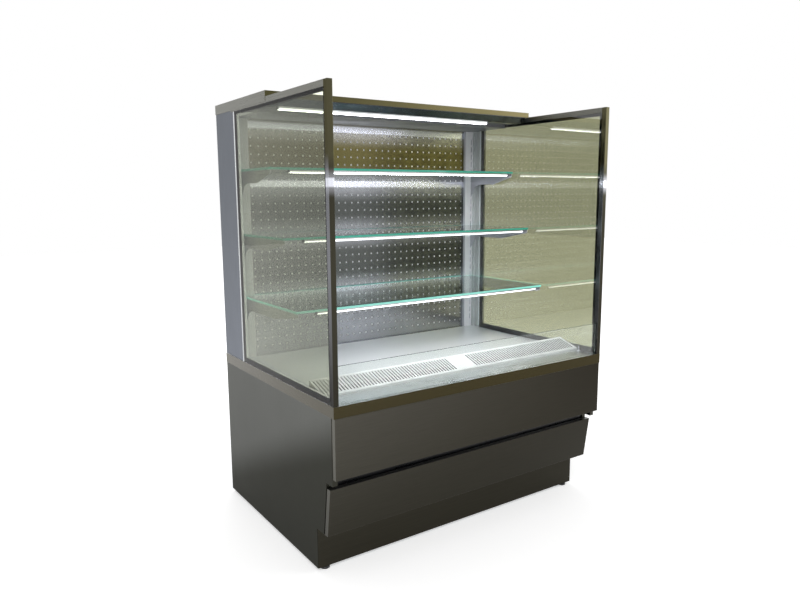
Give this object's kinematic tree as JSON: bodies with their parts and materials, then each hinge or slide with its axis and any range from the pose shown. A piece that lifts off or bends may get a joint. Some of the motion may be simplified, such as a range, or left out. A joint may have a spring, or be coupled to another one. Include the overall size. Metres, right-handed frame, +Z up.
{
  "type": "open multideck display fridge",
  "caption": "Open-front refrigerated display case with lit glass shelves, glazed sides and a stainless base holding its cooling unit",
  "frame": {"origin": "on the floor under the middle of the case", "axes": "+Z up, +Y to the rear of the case, +X to the right seen from the front"},
  "size_m": [1.2, 0.89, 1.555],
  "materials": {
    "stainless": "brushed",
    "polished_stainless": "polished",
    "galvanised": "galvanised",
    "white_enamel": "satin",
    "pale_skin": "satin",
    "shelf_steel": "satin",
    "clear_glass": "polished",
    "lamp_diffuser": "opal",
    "black_seal": "matt",
    "white_plastic": "matt",
    "black_plastic": "matt",
    "coil_aluminium": "finned",
    "black_enamel": "satin",
    "copper_pipe": "drawn",
    "box_paint": "powder",
    "rocker_plastic": "moulded"
  },
  "bodies": {
    "cabinet": {"air_comb": "white_plastic", "back_baffle": "polished_stainless", "base_frame": "galvanised", "base_rear_panel": "galvanised", "base_side_left": "stainless", "base_side_right": "stainless", "canopy_ceiling": "white_enamel", "canopy_fascia": "stainless", "canopy_lamp": "lamp_diffuser", "canopy_shell": "stainless", "column_left": "pale_skin", "column_right": "pale_skin", "compressor": "black_enamel", "condenser_coil": "coil_aluminium", "condenser_shroud": "galvanised", "control_box": "box_paint", "cooling_coil": "coil_aluminium", "counter_band": "stainless", "drain_outlet": "white_plastic", "fan_plate": "polished_stainless", "foot_blocks": "galvanised", "gap_backing": "galvanised", "glass_seal_left": "black_seal", "glass_seal_right": "black_seal", "grille_pins": "polished_stainless", "insulated_tub": "white_plastic", "kick_plate": "stainless", "post_left": "stainless", "post_right": "stainless", "rail_left": "stainless", "rail_right": "stainless", "rear_wall": "pale_skin", "refrigerant_pipes": "copper_pipe", "riser_glass": "clear_glass", "side_glass_left": "clear_glass", "side_glass_right": "clear_glass", "unit_tray": "galvanised", "upper_front_panel": "stainless", "upright_left": "polished_stainless", "upright_right": "polished_stainless"},
    "foot_front_left": {"foot_front_left": "black_plastic"},
    "foot_front_right": {"foot_front_right": "black_plastic"},
    "foot_rear_left": {"foot_rear_left": "black_plastic"},
    "foot_rear_right": {"foot_rear_right": "black_plastic"},
    "condenser_fan": {"condenser_fan": "black_plastic"},
    "cool_fan_left": {"cool_fan_left": "black_plastic"},
    "cool_fan_right": {"cool_fan_right": "black_plastic"},
    "lower_front_panel": {"lower_front_panel": "stainless"},
    "air_grille": {"air_grille": "white_enamel"},
    "deck_pan": {"deck_pan": "polished_stainless"},
    "power_rocker": {"power_rocker": "rocker_plastic"},
    "shelf_bottom": {"shelf_bottom_glass": "clear_glass", "shelf_bottom_brackets": "shelf_steel", "shelf_bottom_lamp": "lamp_diffuser"},
    "shelf_middle": {"shelf_middle_glass": "clear_glass", "shelf_middle_brackets": "shelf_steel", "shelf_middle_lamp": "lamp_diffuser"},
    "shelf_top": {"shelf_top_glass": "clear_glass", "shelf_top_brackets": "shelf_steel", "shelf_top_lamp": "lamp_diffuser"}
  },
  "joints": [
    {"name": "foot_front_left_screw", "type": "slide", "parent": "cabinet", "child": "foot_front_left", "axis": [0, 0, -1], "range_m": [0, 0.02]},
    {"name": "foot_front_right_screw", "type": "slide", "parent": "cabinet", "child": "foot_front_right", "axis": [0, 0, -1], "range_m": [0, 0.02]},
    {"name": "foot_rear_left_screw", "type": "slide", "parent": "cabinet", "child": "foot_rear_left", "axis": [0, 0, -1], "range_m": [0, 0.02]},
    {"name": "foot_rear_right_screw", "type": "slide", "parent": "cabinet", "child": "foot_rear_right", "axis": [0, 0, -1], "range_m": [0, 0.02]},
    {"name": "condenser_fan_spin", "type": "hinge", "parent": "cabinet", "child": "condenser_fan", "pos_m": [-0.26, -0.16, 0.183], "axis": [0, 1, 0], "continuous": true},
    {"name": "cool_fan_left_spin", "type": "hinge", "parent": "cabinet", "child": "cool_fan_left", "pos_m": [-0.27, -0.249, 0.514], "axis": [0, 1, 0], "continuous": true},
    {"name": "cool_fan_right_spin", "type": "hinge", "parent": "cabinet", "child": "cool_fan_right", "pos_m": [0.27, -0.249, 0.514], "axis": [0, 1, 0], "continuous": true},
    {"name": "lower_panel_lift", "type": "slide", "parent": "cabinet", "child": "lower_front_panel", "axis": [0, 0, 1], "range_m": [0, 0.015]},
    {"name": "grille_lift", "type": "slide", "parent": "cabinet", "child": "air_grille", "axis": [0, 0, 1], "range_m": [0, 0.06]},
    {"name": "deck_lift", "type": "slide", "parent": "cabinet", "child": "deck_pan", "axis": [0, 0, 1], "range_m": [0, 0.05]},
    {"name": "rocker_tilt", "type": "hinge", "parent": "cabinet", "child": "power_rocker", "pos_m": [0.36, -0.251, 0.138], "axis": [1, 0, 0], "range_deg": [0, 14]},
    {"name": "shelf_bottom_unhook", "type": "slide", "parent": "cabinet", "child": "shelf_bottom", "axis": [0, 0, 1], "range_m": [0, 0.012]},
    {"name": "shelf_middle_unhook", "type": "slide", "parent": "cabinet", "child": "shelf_middle", "axis": [0, 0, 1], "range_m": [0, 0.012]},
    {"name": "shelf_top_unhook", "type": "slide", "parent": "cabinet", "child": "shelf_top", "axis": [0, 0, 1], "range_m": [0, 0.012]}
  ]
}
